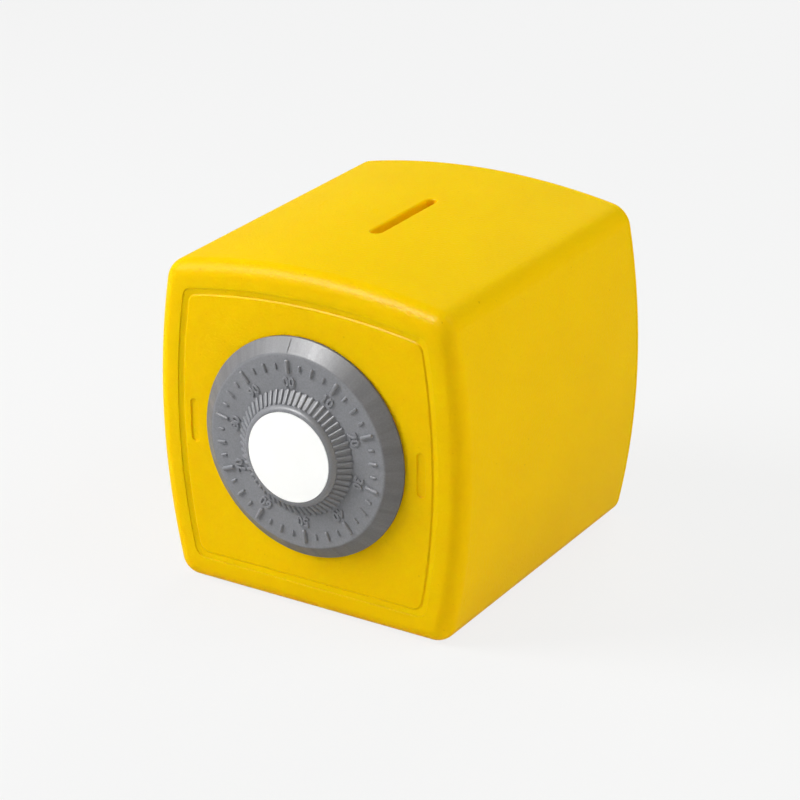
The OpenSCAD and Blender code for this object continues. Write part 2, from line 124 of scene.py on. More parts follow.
def side_centre(k):
    return k * (half_w - side_bow_r), k * body_h / 2


def top_centre(k):
    return 0, k * (body_h - top_bow_r)


def top_corner(k, inset, r):
    """Centre of the corner arc between the bowed side and the bowed top."""
    side, top = side_centre(k), top_centre(k)
    r1, r2 = k * side_bow_r - inset - r, k * top_bow_r - inset - r
    d = math.dist(side, top)
    u = ((top[0] - side[0]) / d, (top[1] - side[1]) / d)
    along = (r1 * r1 - r2 * r2 + d * d) / (2 * d)
    up = math.sqrt(r1 * r1 - along * along)
    return side[0] + along * u[0] - up * u[1], side[1] + along * u[1] + up * u[0]


def base_corner(k, inset, r):
    """Centre of the corner arc between the bowed side and the flat base."""
    side = side_centre(k)
    reach, rise = k * side_bow_r - inset - r, inset + r - side[1]
    return side[0] + math.sqrt(reach * reach - rise * rise), inset + r


def outline(k, inset, top_r, base_r):
    """Outline of the box seen from the front, grown by k and then drawn in by inset."""
    side, top = side_centre(k), top_centre(k)
    crown, foot = top_corner(k, inset, top_r), base_corner(k, inset, base_r)
    a1, a2, a3 = bearing(side, foot), bearing(side, crown), bearing(top, crown)
    right = arc(foot, base_r, -QUARTER, a1, CORNER)
    right += arc(side, k * side_bow_r - inset, a1, a2, SIDE, 1)
    right += arc(crown, top_r, a2, a3, CORNER, 1)
    right += arc(top, k * top_bow_r - inset, a3, QUARTER, TOP, 1)
    return right + [(-x, z) for x, z in right[-2::-1]]


def skin(y, inset):
    return y, outline(grow(y), inset, top_corner_r - inset, base_corner_r - inset)


def skins(pairs):
    return [skin(y, inset) for y, inset in pairs]


def door(y, inset, r=door_corner_r):
    return y, outline(1, inset, r, r)


def doors(pairs):
    return [door(y, inset) for y, inset in pairs]


def edge(inset, y, r, start, stop, steps=FINE):
    """Stations round an edge: (y, inset) pairs on an arc about a centre, angles in degrees."""
    points = arc((inset, y), r, math.radians(start), math.radians(stop), steps)
    return [(b, a) for a, b in points]


def edge_steps(r, steps=SOFT):
    """Offsets and depths of loops round a soft edge, from the surface down into a hole."""
    return [(r * (1 - math.sin(a)), r * (1 - math.cos(a))) for a in spread(0, QUARTER, steps)]


def place(x, y, z):
    return Vector((x, y - body_d / 2, z)) * MM


def loop_at(bm, points):
    return [bm.verts.new(place(*p)) for p in points]


def ring(bm, station):
    y, points = station
    return loop_at(bm, [(x, y, z) for x, z in points])


def bridge(bm, a, b, skip=()):
    n = len(a)
    for j in range(n):
        if j not in skip:
            bm.faces.new((a[j], a[(j + 1) % n], b[(j + 1) % n], b[j]))


def bridge_all(bm, loops):
    for a, b in zip(loops, loops[1:]):
        bridge(bm, a, b)


def fill(bm, *loops):
    """Fills the area between closed loops with triangles."""
    edges = []
    for loop in loops:
        for a, b in zip(loop, loop[1:] + loop[:1]):
            edges.append(bm.edges.get((a, b)) or bm.edges.new((a, b)))
    bmesh.ops.triangle_fill(bm, use_beauty=True, edges=edges)


BLOCK_EDGE = 0.2


def add_block(bm, low, high):
    """Block between two corners with rounded edges."""
    low, high = Vector(low), Vector(high)
    size, middle = high - low, (low + high) / 2
    matrix = Matrix.Translation(middle) @ Matrix.Diagonal((*size, 1))
    made = bmesh.ops.create_cube(bm, size=1, matrix=matrix)
    edges = {e for v in made["verts"] for e in v.link_edges}
    bmesh.ops.bevel(
        bm, geom=list(edges), offset=BLOCK_EDGE, segments=3, profile=0.5, affect="EDGES"
    )


def circle(bm, x, z, y, r, n=32):
    turns = [TAU * i / n for i in range(n)]
    return loop_at(bm, [(x + r * math.cos(a), y, z + r * math.sin(a)) for a in turns])


def tube(bm, x, z, profile, n=32):
    """Closed turned shape along Y about (x, z), from (r, y) pairs that run round its section."""
    loops = [circle(bm, x, z, y, r, n) for r, y in profile]
    bridge_all(bm, loops + loops[:1])


# From millimetres to metres in the part's frame: from the middle of the box's foot in front, and
# from the dial's axis
FRONT = Matrix.Scale(MM, 4) @ Matrix.Translation((0, -body_d / 2, 0))
AXIS = FRONT @ Matrix.Translation((0, 0, dial_z))


def piece(name, bm, material, body, replaced=(), sharp=40, matrix=None):
    """Turns a mesh into a named piece that rides on a body."""
    if matrix:
        bm.transform(matrix)
    bmesh.ops.recalc_face_normals(bm, faces=bm.faces)
    for face in bm.faces:
        face.smooth = True
    for e in bm.edges:
        e.smooth = len(e.link_faces) == 2 and e.calc_face_angle() < math.radians(sharp)
    mesh = bpy.data.meshes.new(name)
    bm.to_mesh(mesh)
    bm.free()
    obj = bpy.data.objects.new(name, mesh)
    bpy.context.scene.collection.objects.link(obj)
    mesh.materials.append(material)
    normals = obj.modifiers.new("normals", "WEIGHTED_NORMAL")
    normals.keep_sharp = True
    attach(obj, body)
    if replaced:
        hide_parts(*replaced)
    return obj


# Materials: the scales of noises are per metre, and bump distances are in metres


# Range that holds most values of a noise
NOISE_LOW, NOISE_HIGH = 0.3, 0.7
# Colour sockets of a mix node, which share their names with its other kinds
MIX_A, MIX_B, MIX_RESULT = 6, 7, 2


class Nodes:
    """Short way to add and join the nodes of a material."""

    def __init__(self, name):
        self.material = bpy.data.materials.new(name)
        self.material.use_nodes = True
        self.tree = self.material.node_tree
        self.shader = self.tree.nodes["Principled BSDF"]

    def add(self, kind, **values):
        node = self.tree.nodes.new(kind)
        for key, value in values.items():
            setattr(node, key, value)
        return node

    def join(self, a, b):
        self.tree.links.new(a, b)

    def put(self, socket, value):
        if isinstance(value, bpy.types.NodeSocket):
            self.join(value, socket)
        else:
            socket.default_value = value

    def coords(self, rotation=(0, 0, 0), scale=(1, 1, 1)):
        coord = self.add("ShaderNodeTexCoord")
        mapping = self.add("ShaderNodeMapping")
        mapping.inputs["Rotation"].default_value = rotation
        mapping.inputs["Scale"].default_value = scale
        self.join(coord.outputs["Object"], mapping.inputs["Vector"])
        return mapping.outputs["Vector"]

    def noise(self, vector, scale, detail=2.0, rough=0.5):
        node = self.add("ShaderNodeTexNoise")
        self.join(vector, node.inputs["Vector"])
        node.inputs["Scale"].default_value = scale
        node.inputs["Detail"].default_value = detail
        node.inputs["Roughness"].default_value = rough
        return node.outputs["Fac"]

    def span(self, value, a0, a1, b0, b1):
        """Maps the range a0 to a1 of a value to the range b0 to b1."""
        node = self.add("ShaderNodeMapRange")
        self.join(value, node.inputs["Value"])
        for key, number in zip(("From Min", "From Max", "To Min", "To Max"), (a0, a1, b0, b1)):
            node.inputs[key].default_value = number
        return node.outputs["Result"]

    def level(self, noise, low, high):
        """Stretches the usual values of a noise over a range."""
        return self.span(noise, NOISE_LOW, NOISE_HIGH, low, high)

    def math(self, operation, a, b=0.0):
        node = self.add("ShaderNodeMath", operation=operation)
        self.put(node.inputs[0], a)
        self.put(node.inputs[1], b)
        return node.outputs[0]

    def mix(self, factor, a, b):
        node = self.add("ShaderNodeMix", data_type="RGBA")
        self.put(node.inputs["Factor"], factor)
        self.put(node.inputs[MIX_A], a)
        self.put(node.inputs[MIX_B], b)
        return node.outputs[MIX_RESULT]

    def bump(self, height, strength, distance, normal=None):
        node = self.add("ShaderNodeBump")
        node.inputs["Strength"].default_value = strength
        node.inputs["Distance"].default_value = distance
        self.join(height, node.inputs["Height"])
        if normal:
            self.join(normal, node.inputs["Normal"])
        return node.outputs["Normal"]

    def set(self, **values):
        for key, value in values.items():
            self.put(self.shader.inputs[key.replace("_", " ")], value)


def srgb(r, g, b):
    def linear(c):
        c /= 255
        return c / 12.92 if c <= 0.04045 else ((c + 0.055) / 1.055) ** 2.4

    return linear(r), linear(g), linear(b), 1.0


# Reach of the search for hollows, in metres, and the open share from deep to plain; they set
# where the painted warm glow and the stronger subsurface scatter go
HOLLOW_REACH, HOLLOW_SPAN = 0.007, (0.35, 0.6)


def yellow_plastic():
    """Fine-grained plastic with a painted warm glow in its hollows, which stands in for light
    scattered through it.
    """
    n = Nodes("yellow_plastic")
    here = n.coords()
    cloud = n.noise(here, 38, 3)
    grain = n.noise(here, 2600, 2)
    peel = n.noise(here, 1500, 2)
    hair = n.noise(n.coords((0.3, 0.5, 0.2), (70, 70, 2600)), 1, 2, 0.6)
    specks = n.noise(here, 900, 1)
    colour = n.mix(n.level(cloud, 0, 1), srgb(238, 194, 0), srgb(234, 189, 0))
    colour = n.mix(n.level(grain, 0, 0.35), colour, srgb(226, 179, 0))
    colour = n.mix(n.span(hair, 0.72, 0.80, 0, 0.2), colour, srgb(246, 210, 20))
    colour = n.mix(n.span(specks, 0.76, 0.8, 0, 0.5), colour, srgb(196, 150, 0))
    hollow = n.add("ShaderNodeAmbientOcclusion", samples=6)
    hollow.inputs["Distance"].default_value = HOLLOW_REACH
    open_share = hollow.outputs["AO"]
    # Painted light: the hollows get a brighter, warmer yellow, which stands in for light
    # scattered through the plastic
    colour = n.mix(n.span(open_share, *HOLLOW_SPAN, 1, 0), colour, srgb(255, 186, 0))
    rough = n.math("ADD", n.level(peel, 0.28, 0.36), n.span(hair, 0.66, 0.8, 0, 0.1))
    fine = n.bump(grain, 0.8, 0.00006)
    n.set(Base_Color=colour, Roughness=rough, Normal=n.bump(peel, 0.8, 0.00016, fine))
    n.set(Specular_IOR_Level=0.03)
    n.set(Subsurface_Weight=n.span(open_share, *HOLLOW_SPAN, 1, 0.35))
    n.set(Subsurface_Radius=(1.0, 0.55, 0.05), Subsurface_Scale=0.003)
    return n.material


# Painted shade streaks down the bevel: their scale per radian round it and per metre along it
STREAKS_ROUND, STREAKS_ALONG = 9.0, 30.0
# Distances from the scale's edge over which the painted shade streaks fade in
BEVEL_FROM, BEVEL_FULL = -0.2, 0.3


def grey_plastic():
    """Grained plastic with painted shade down the dial's bevel, in darker streaks that stand in
    for the light and shade of its turned surface.
    """
    n = Nodes("grey_plastic")
    here = n.coords()
    split = n.add("ShaderNodeSeparateXYZ")
    n.join(here, split.inputs[0])
    x = split.outputs["X"]
    z = n.math("SUBTRACT", split.outputs["Z"], dial_z * MM)
    turn = n.math("ARCTAN2", x, z)
    squares = n.math("ADD", n.math("MULTIPLY", x, x), n.math("MULTIPLY", z, z))
    radius = n.math("SQRT", squares)
    polar = n.add("ShaderNodeCombineXYZ")
    n.join(n.math("MULTIPLY", turn, STREAKS_ROUND), polar.inputs["X"])
    n.join(n.math("MULTIPLY", radius, STREAKS_ALONG), polar.inputs["Y"])
    streaks = n.noise(polar.outputs[0], 1.0, 4, 0.6)
    begin, full = (scale_r + BEVEL_FROM) * MM, (scale_r + BEVEL_FULL) * MM
    on_bevel = n.span(radius, begin, full, 0, 1)
    grain = n.noise(here, 2400, 2)
    cloud = n.noise(here, 60, 3)
    colour = n.mix(n.level(cloud, 0, 1), srgb(137, 138, 142), srgb(131, 132, 136))
    colour = n.mix(n.level(grain, 0, 0.5), colour, srgb(111, 112, 116))
    # Painted shade: the bevel is darkened in radial streaks, which stand in for the light and
    # shade of its turned surface; the streaks are rougher too
    painted_shade_streak = n.math("MULTIPLY", n.span(streaks, 0.35, 0.65, 0.3, 0.6), on_bevel)
    colour = n.mix(painted_shade_streak, colour, srgb(84, 85, 89))
    rough = n.math("ADD", n.level(grain, 0.36, 0.44), n.math("MULTIPLY", painted_shade_streak, 0.1))
    n.set(Base_Color=colour, Roughness=rough, Normal=n.bump(grain, 0.3, 0.00003))
    n.set(Specular_IOR_Level=0.19)
    return n.material


def white_label():
    n = Nodes("white_label")
    here = n.coords()
    fibre = n.noise(here, 1500, 3)
    cloud = n.noise(here, 90, 2)
    colour = n.mix(n.level(cloud, 0, 1), srgb(255, 255, 255), srgb(252, 252, 251))
    rough = n.level(fibre, 0.3, 0.4)
    n.set(Base_Color=colour, Roughness=rough, Normal=n.bump(fibre, 0.1, 0.00001))
    return n.material


def natural_plastic():
    n = Nodes("natural_plastic")
    here = n.coords()
    cloud = n.noise(here, 120, 3)
    grain = n.noise(here, 2200, 2)
    colour = n.mix(n.level(cloud, 0, 1), srgb(228, 225, 214), srgb(218, 214, 201))
    rough = n.level(grain, 0.4, 0.5)
    n.set(Base_Color=colour, Roughness=rough, Normal=n.bump(grain, 0.2, 0.00002))
    return n.material


def steel():
    """Bright plated steel, brushed along one axis."""
    n = Nodes("steel")
    here = n.coords()
    brushed = n.noise(n.coords(scale=(4000, 300, 4000)), 1, 3)
    cloud = n.noise(here, 700, 2)
    colour = n.mix(n.level(cloud, 0, 1), srgb(222, 224, 228), srgb(200, 202, 208))
    rough = n.level(brushed, 0.24, 0.36)
    relief = n.bump(brushed, 0.1, 0.00001)
    n.set(Base_Color=colour, Roughness=rough, Metallic=1.0, Normal=relief)
    return n.material


YELLOW, GREY, WHITE = yellow_plastic(), grey_plastic(), white_label()
NATURAL, STEEL = natural_plastic(), steel()


# Housing


def top_z(x, y, inset):
    k = grow(y)
    return k * (body_h - top_bow_r) + math.sqrt((k * top_bow_r - inset) ** 2 - x * x)


def stadium(half, straight, ends=12, sides=14):
    """Points round a shape with straight sides along its second axis and round ends."""
    points = [(half, straight * (i / sides - 0.5)) for i in range(sides)]
    points += arc((0, straight / 2), half, 0, math.pi, ends)[:-1]
    points += [(-half, straight * (0.5 - i / sides)) for i in range(sides)]
    points += arc((0, -straight / 2), half, math.pi, TAU, ends)[:-1]
    return points


def slot_loop(bm, offset, height):
    """Loop round the coin slot, offset outwards, at a height given by x and y."""
    points = stadium(slot_w / 2 + offset, slot_l - slot_w)
    return loop_at(bm, [(x, y + slot_y, height(x, y + slot_y)) for x, y in points])


# Place left open for the slot: how far it reaches past the middle, and columns on each side
SLOT_MARGIN, SLOT_COLUMNS = 19.0, 3
# Soft upper edge of the slot, how much its walls come in, and soft lower edge
SLOT_EDGE, SLOT_DRAFT, INNER_EDGE = 0.6, 0.4, 0.2
# Rings round the slot that even out the mesh, outside and inside the box
SLOT_RINGS, COLLAR_RINGS = (2.4, 1.4, 0.8), (0, 0.8)
# Steps along the box beside the slot and before and behind it
SLOT_STEPS, LONG_STEPS = 13, 9
# Soft edges of the shell and the back at the seam between them
SEAM_EDGE = 0.3
# Fine parting line behind the rounded front edge: its start, middle and end, and its depth
PARTING_Y, PARTING = (0.75, 0.6, 0.45), 0.02
# Width and depth of the soft inner edge of the front frame
FRAME_EDGE = (0.2, 0.17)
# Soft edges of the ledge behind the door, at its root and at its rim
LEDGE_ROOT, LEDGE_RIM = 0.25, 0.3

collar_z = body_h * grow(slot_y) - wall - slot_collar_h


def housing():
    bm = bmesh.new()
    near, far = slot_y - SLOT_MARGIN, slot_y + SLOT_MARGIN
    outer_y = spread(cover_y - SEAM_EDGE, far, LONG_STEPS)
    outer_y += spread(far, near, SLOT_STEPS)[1:] + spread(near, front_edge_r, LONG_STEPS)[1:]
    start, middle, stop = PARTING_Y
    parting = ((start, 0), (middle, PARTING), (stop, 0), (0, 0))
    stations = skins(edge(SEAM_EDGE, cover_y - SEAM_EDGE, SEAM_EDGE, 90, 180)[:-1])
    outer_first = len(stations)
    stations += skins((y, 0) for y in outer_y[:-1])
    stations += skins((front_edge_r + y, i) for y, i in parting)
    stations += skins(edge(front_edge_r, front_edge_r, front_edge_r, 180, 270, EDGE)[1:])
    wide, deep = FRAME_EDGE
    for a in spread(0, QUARTER, SOFT):
        stations.append(door(deep * (1 - math.cos(a)), frame_w - wide * (1 - math.sin(a))))
    stations += doors(edge(frame_w + LEDGE_ROOT, ledge_y - LEDGE_ROOT, LEDGE_ROOT, 180, 90))
    stations += doors(edge(ledge_inset - LEDGE_RIM, ledge_y + LEDGE_RIM, LEDGE_RIM, 270, 360))
    stations += doors(edge(ledge_inset - LEDGE_RIM, ledge_back - LEDGE_RIM, LEDGE_RIM, 0, 90))
    stations += [door(y, frame_w - wall, door_corner_r + wall) for y in (ledge_back, wall)]
    stations += skins(edge(front_edge_r, front_edge_r, front_edge_r - wall, 270, 180, EDGE))
    inner_first = len(stations)
    stations += skins((y, wall) for y in (near, far, cover_y))
    rings = [ring(bm, s) for s in stations]
    outer_near = outer_first + outer_y.index(near)
    outer_far = outer_first + outer_y.index(far)
    columns = range(CROWN - SLOT_COLUMNS, CROWN + SLOT_COLUMNS)
    for i, (a, b) in enumerate(zip(rings, rings[1:] + rings[:1])):
        cut = outer_far <= i < outer_near or i == inner_first
        bridge(bm, a, b, columns if cut else ())

    def hole(first, last):
        """Loop of the vertices round the place that is left open for the slot."""
        low, high = columns[0], columns[-1] + 1
        sides = [rings[i] for i in range(first, last + 1)]
        return (
            [sides[0][j] for j in range(low, high)]
            + [r[high] for r in sides[:-1]]
            + [sides[-1][j] for j in range(high, low, -1)]
            + [r[low] for r in sides[:0:-1]]
        )

    def outside(drop):
        return lambda x, y: top_z(x, y, 0) - drop

    def collar(lift):
        return lambda x, y: collar_z + lift

    def inside(x, y):
        return top_z(x, y, wall)

    lower = edge_steps(INNER_EDGE)
    loops = [slot_loop(bm, o, outside(0)) for o in SLOT_RINGS]
    loops += [slot_loop(bm, o, outside(d)) for o, d in edge_steps(SLOT_EDGE)]
    loops += [slot_loop(bm, o - SLOT_DRAFT, collar(d)) for o, d in reversed(lower)]
    loops += [slot_loop(bm, slot_collar_t - o, collar(d)) for o, d in lower]
    loops += [slot_loop(bm, slot_collar_t + o, inside) for o in COLLAR_RINGS]
    bridge_all(bm, loops)
    fill(bm, hole(outer_far, outer_near), loops[0])
    fill(bm, hole(inner_first, inner_first + 1), loops[-1])
    return piece("housing_shell", bm, YELLOW, "housing", ["housing"])


def back_screws():
    """Centres of the rear screws and the directions from them into the corners."""
    k = grow(boss_y)
    foot, crown = base_corner(k, 0, base_corner_r), top_corner(k, 0, top_corner_r)
    low = (base_corner_r - wall - screw_inset) / math.sqrt(2)
    high = (top_corner_r - wall - screw_inset) / math.sqrt(2)
    for side in (-1, 1):
        yield side * (foot[0] + low), foot[1] - low, side, -1
        yield side * (crown[0] + high), crown[1] + high, side, 1


# Ring in the bore of a boss, bevel at its front end, and core of the web beside it
BORE_RING, BOSS_EDGE, WEB_CORE = 1, 0.4, 0.2


def housing_bosses():
    bm = bmesh.new()
    front, r = boss_y - boss_l, back_screw_r + fit_gap
    boss = [
        (r, front + BORE_RING), (r, boss_y), (boss_r, boss_y),
        (boss_r, front + BOSS_EDGE), (boss_r - BOSS_EDGE, front), (r, front),
    ]
    web = [(WEB_CORE, front), (WEB_CORE, boss_y), (boss_web_r, boss_y), (boss_web_r, front)]
    away = screw_inset / math.sqrt(2)
    for x, z, sx, sz in back_screws():
        tube(bm, x, z, boss)
        tube(bm, x + sx * away, z + sz * away, web)
    return piece("housing_bosses", bm, YELLOW, "housing")


# Flat ring inside the rear edge
REAR_RING = 0.2
# Flat ring and soft edge of the recesses for the screws, and bevel of the cups under them
SCREW_RING, SCREW_EDGE, CUP_EDGE = 0.5, 0.3, 0.3


def back_cover():
    bm = bmesh.new()
    stations = skins(edge(SEAM_EDGE, cover_y + SEAM_EDGE, SEAM_EDGE, 270, 180))
    stations += skins(edge(rear_edge_r, body_d - rear_edge_r, rear_edge_r, 180, 90, EDGE))
    stations.append(skin(body_d, rear_edge_r + REAR_RING))
    rings = [ring(bm, s) for s in stations]
    bridge_all(bm, rings)
    front_loops, rear_loops = [rings[0]], [rings[-1]]
    bore = back_screw_r + fit_gap
    profile = [(recess_r + SCREW_RING, body_d)]
    profile += [(recess_r + o, body_d - d) for o, d in edge_steps(SCREW_EDGE, FINE)]
    profile += [(recess_r, head_y), (bore, head_y), (bore, boss_y)]
    profile += [(cup_r - CUP_EDGE, boss_y), (cup_r, boss_y + CUP_EDGE), (cup_r, cover_y)]
    for x, z, _, _ in back_screws():
        loops = [circle(bm, x, z, y, r) for r, y in profile]
        bridge_all(bm, loops)
        rear_loops.append(loops[0])
        front_loops.append(loops[-1])
    fill(bm, *front_loops)
    fill(bm, *rear_loops)
    return piece("back_cover_plate", bm, YELLOW, "housing", ["back_cover"])


# How far the lip's root is sunk into the plate
LIP_ROOT = 0.5


def lip_section(bm, outer, inner):
    """Section of the lip between a point of its outer and one of its inner outline."""
    root = cover_y + LIP_ROOT
    corners = ((outer, lip_y), (outer, root), (inner, root), (inner, lip_y))
    return loop_at(bm, [(point[0], y, point[1]) for point, y in corners])


def back_cover_lip():
    """The strips of the lip that stand inside the shell, between the screws."""
    bm = bmesh.new()
    outer = outline(grow(lip_y), lip_inset, lip_corner_r, lip_corner_r)
    inner = outline(grow(lip_y), lip_inset + lip_t, lip_corner_r - lip_t, lip_corner_r - lip_t)
    screws = [(x, z) for x, z, _, _ in back_screws()]
    clear = screw_inset + wall
    keep = [all(math.dist(p, s) > clear for s in screws) for p in inner]
    n = len(outer)
    start = next(i for i in range(n) if not keep[i])
    run = []
    for i in (j % n for j in range(start, start + n + 1)):
        if keep[i]:
            run.append(i)
        elif run:
            loops = [lip_section(bm, outer[j], inner[j]) for j in run]
            bridge_all(bm, loops)
            bm.faces.new(loops[0])
            bm.faces.new(loops[-1])
            run = []
    return piece("back_cover_lip", bm, YELLOW, "housing")


# Door


# Visible gap between the door and the frame, depth of the door's edge beside it, and its radius
SEAM, LINE_Y, LINE_EDGE = 0.02, 0.17, 0.08
# Width and depth of the bevel round the raised panel, and the flat ring inside it
PANEL_EDGE, PANEL_RING = (0.34, 0.26), 0.3
# Steps of the fine rounding at the foot of that bevel
PANEL_FOOT = (0.02, 0.1)
# Edges of the seat behind the frame and of the spindle's hub, and steps round the hub
SEAT_EDGE, HUB_EDGE, HUB_STEPS = 0.2, 0.2, 64
# Soft edges of a recess, the flat ring round it, and steps round its ends and along its sides
RECESS_SOFT, RECESS_RING, RECESS_ENDS, RECESS_SIDES = 0.18, 0.3, 14, 6


def recess_loops(bm, side):
    """Loops of one recess in the panel, from the panel's face to its floor."""
    x0 = side * (half_w - panel_inset - recess_edge - recess_w / 2)
    soft = RECESS_SOFT
    steps = [(soft + RECESS_RING, 0)] + edge_steps(soft)
    for a in spread(0, QUARTER, ROUND):
        steps.append((-soft * (1 - math.cos(a)), recess_d - soft + soft * math.sin(a)))
    loops = []
    for offset, depth in steps:
        half = recess_w / 2 + offset
        points = stadium(half, recess_h - recess_w, RECESS_ENDS, RECESS_SIDES)
        loops.append(loop_at(bm, [(x + x0, panel_y + depth, z + dial_z) for x, z in points]))
    return loops


def door_panel():
    bm = bmesh.new()
    wide, deep = PANEL_EDGE
    low, out = PANEL_FOOT
    pairs = [(panel_y, panel_inset + wide + PANEL_RING), (panel_y, panel_inset + wide)]
    pairs += [(panel_y + deep, panel_inset), (flange_y - low, panel_inset - low)]
    pairs.append((flange_y, panel_inset - out))
    pairs += edge(frame_w + SEAM + LINE_EDGE, LINE_Y + LINE_EDGE, LINE_EDGE, 270, 180)
    pairs += edge(frame_w + SEAM + SEAT_EDGE, seat_y - SEAT_EDGE, SEAT_EDGE, 180, 90)
    pairs += edge(pocket_inset - SEAT_EDGE, seat_y - SEAT_EDGE, SEAT_EDGE, 90, 0)
    pairs.append((pocket_y, pocket_inset))
    rings = [ring(bm, s) for s in doors(pairs)]
    bridge_all(bm, rings)
    front_loops, back_loops = [rings[0]], [rings[-1]]
    for side in (-1, 1):
        loops = recess_loops(bm, side)
        bridge_all(bm, loops)
        fill(bm, loops[-1])
        front_loops.append(loops[0])
    outer = bore_r + wall
    hub = [
        (bore_r + HUB_EDGE, panel_y), (bore_r, panel_y + HUB_EDGE),
        (bore_r, guide_y - HUB_EDGE), (bore_r + HUB_EDGE, guide_y),
        (outer - HUB_EDGE, guide_y), (outer, guide_y - HUB_EDGE), (outer, pocket_y),
    ]
    loops = [circle(bm, 0, dial_z, y, r, HUB_STEPS) for r, y in hub]
    bridge_all(bm, loops)
    front_loops.append(loops[0])
    back_loops.append(loops[-1])
    fill(bm, *front_loops)
    fill(bm, *back_loops)
    return piece("door_front", bm, YELLOW, "door", ["door_panel"], sharp=30)


# How far the fittings are sunk into the door, and the end wall of a spring holder
FITTING_ROOT, HOLDER_END = 0.5, 1
# Room under a screw of the lock cover, bevel of its post, and steps round it
SCREW_ROOM, POST_EDGE, POST_STEPS = 1, 0.2, 24


def door_fittings():
    """Bolt guides, holders of the click spring and posts of the lock cover, behind the door."""
    bm = bmesh.new()
    foot = pocket_y - FITTING_ROOT
    rail_z = bolt_w / 2 + slide_gap
    low_z = spring_z - spring_post / 2
    high_z = low_z + spring_post + spring_t
    holder_x = (spring_half_l - spring_post, spring_half_l + fit_gap + HOLDER_END)
    for side in (-1, 1):
        def box(x0, x1, y0, y1, z0, z1):
            a, b = sorted((side * x0, side * x1))
            add_block(bm, (a, y0, z0), (b, y1, z1))

        box(guide_in_x, guide_out_x, foot, guide_y, -rail_z - rail_t, rail_z + rail_t)
        for up in (-1, 1):
            z0, z1 = sorted((up * rail_z, up * (rail_z + rail_t)))
            box(guide_in_x, guide_out_x, foot, bolt_back, z0, z1)
        box(*holder_x, foot, cam_y - fit_gap, low_z, high_z)
        box(*holder_x, foot, cam_back, low_z, spring_z - fit_gap)
        box(*holder_x, foot, cam_back, spring_z + spring_t + fit_gap, high_z)
        box(spring_half_l + fit_gap, holder_x[1], foot, cam_back, low_z, high_z)
    bm.transform(AXIS)
    r = lid_screw_r + fit_gap
    post = [
        (r, lid_back - lid_screw_l - SCREW_ROOM), (r, lid_y), (lid_post_r - POST_EDGE, lid_y),
        (lid_post_r, lid_y - POST_EDGE), (lid_post_r, foot), (r, foot),
    ]
    for sx in (-1, 1):
        for sz in (-1, 1):
            tube(bm, sx * lid_post_x, dial_z + sz * lid_post_z, post, POST_STEPS)
    return piece("door_fittings", bm, YELLOW, "door")


# Dial


def on_dial(r, turn, h):
    """Point at a radius, an angle clockwise from the top and a height towards the front."""
    return r * math.sin(turn), rim_y - h, dial_z + r * math.cos(turn)


def dial_loop(bm, r, h):
    return loop_at(bm, [on_dial(r, TAU * i / LATHE, h) for i in range(LATHE)])


def lathe(bm, profile):
    """Turned shape about the dial's axis. The profile may start and end on the axis."""
    loops = []
    for r, h in profile:
        if r == 0:
            loops.append(loop_at(bm, [on_dial(0, 0, h)]))
        else:
            loops.append(dial_loop(bm, r, h))
    for a, b in zip(loops, loops[1:]):
        if len(a) == 1 or len(b) == 1:
            tip, rim = (a[0], b) if len(a) == 1 else (b[0], a)
            for j in range(LATHE):
                bm.faces.new((tip, rim[j], rim[(j + 1) % LATHE]))
        else:
            bridge(bm, a, b)


# Largest share of a side that one rounded corner may take
CORNER_SHARE = 0.45


def turned(*corners):
    """Profile through (r, h, radius) corners, each rounded by its radius."""
    points = []
    last = len(corners) - 1
    for i, (r, h, soft) in enumerate(corners):
        if soft == 0 or i in (0, last):
            points.append((r, h))
            continue
        here = Vector((r, h))
        back = Vector(corners[i - 1][:2]) - here
        on = Vector(corners[i + 1][:2]) - here
        reach = soft / math.tan(back.angle(on) / 2)
        reach = min(reach, CORNER_SHARE * back.length, CORNER_SHARE * on.length)
        a, b = here + back.normalized() * reach, here + on.normalized() * reach
        for t in spread(0, 1, ROUND):
            p = a.lerp(here, t).lerp(here.lerp(b, t), t)
            points.append((p.x, p.y))
    return points


rib_foot_r = knob_base_r - knob_rib_depth
top_core_r = rib_foot_r * knob_top_r / knob_base_r
rib_top = scale_h + knob_rib_h
shoulder_r = face_h - rib_top
face_r = top_core_r + shoulder_lip - shoulder_r

# How far the rim reaches back towards the panel
RIM_SKIRT = 0.22
# Flat ring in the label's recess, and how far the recess stays below the knob's face
LABEL_RING, LABEL_LIP = 0.3, 0.06
# Radii of the dial's edges in front: shoulder, foot of the knob, scale and rim
SHOULDER_EDGE, KNOB_FOOT, SCALE_EDGE, RIM_EDGE = 0.1, 0.35, 1.6, 0.3
# Radii behind: outside and inside of the rim, hollow, end of the hub and root of the spindle
SKIRT_EDGE, SKIRT_FOOT, HOLLOW_EDGE, HUB_END, SPINDLE_ROOT = 0.12, 0.2, 0.3, 0.15, 0.1
# Bore for the screw in the spindle's end
SPINDLE_BORE_R, SPINDLE_BORE_L = 1.3, 8
# Distance in metres within which vertices lie in one plane
LEVEL = 1e-7


